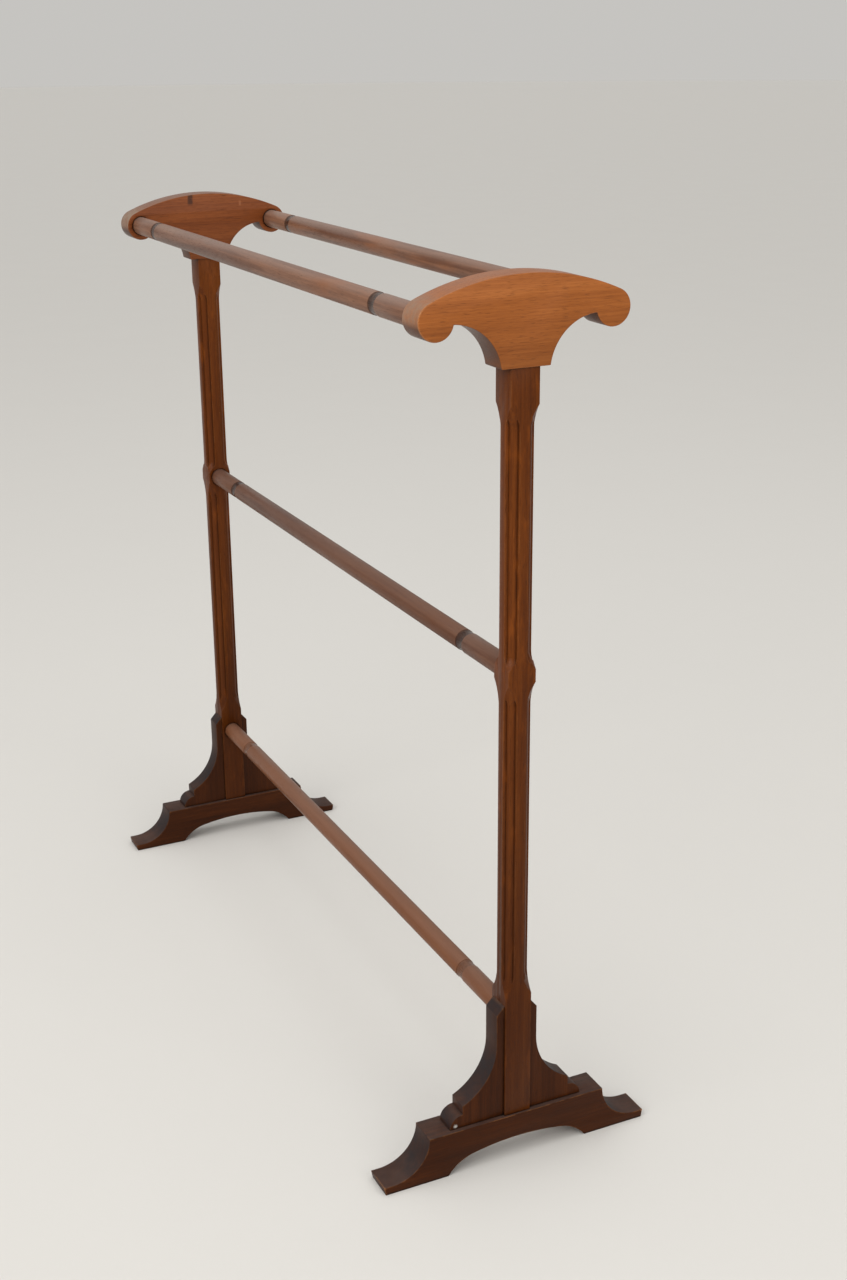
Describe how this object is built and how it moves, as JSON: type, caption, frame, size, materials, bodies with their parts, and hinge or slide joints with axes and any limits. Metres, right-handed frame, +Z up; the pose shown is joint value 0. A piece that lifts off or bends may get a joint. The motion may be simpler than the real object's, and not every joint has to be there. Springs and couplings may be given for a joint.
{
  "type": "valet stand",
  "caption": "Wooden valet stand in the form of a towel rail: two carved end frames on sledge feet, joined by slim round rails for hanging clothes or towels.",
  "frame": {"origin": "on the floor, under the middle of the stand", "axes": "+X along the rails towards the right end frame, +Y along the feet towards the back, +Z up"},
  "size_m": [0.7656, 0.262, 0.78],
  "materials": {
    "crest_wood": "polished warm orange-brown mahogany, worn at the edges",
    "post_wood": "polished dark red-brown mahogany",
    "foot_wood": "polished dark brown mahogany, scuffed edges",
    "bracket_wood": "polished dark brown mahogany",
    "rail_wood": "faded satin brown wood with dark stained rings",
    "dowel_wood": "plain pale wood, hidden inside the joints"
  },
  "bodies": {
    "root": {"right_crest": "crest_wood", "left_crest": "crest_wood", "right_post": "post_wood", "left_post": "post_wood", "right_foot": "foot_wood", "left_foot": "foot_wood", "right_front_bracket": "bracket_wood", "right_back_bracket": "bracket_wood", "left_front_bracket": "bracket_wood", "left_back_bracket": "bracket_wood", "front_top_rail": "rail_wood", "back_top_rail": "rail_wood", "middle_rail": "rail_wood", "low_rail": "rail_wood", "bracket_dowels": "dowel_wood"}
  },
  "joints": []
}
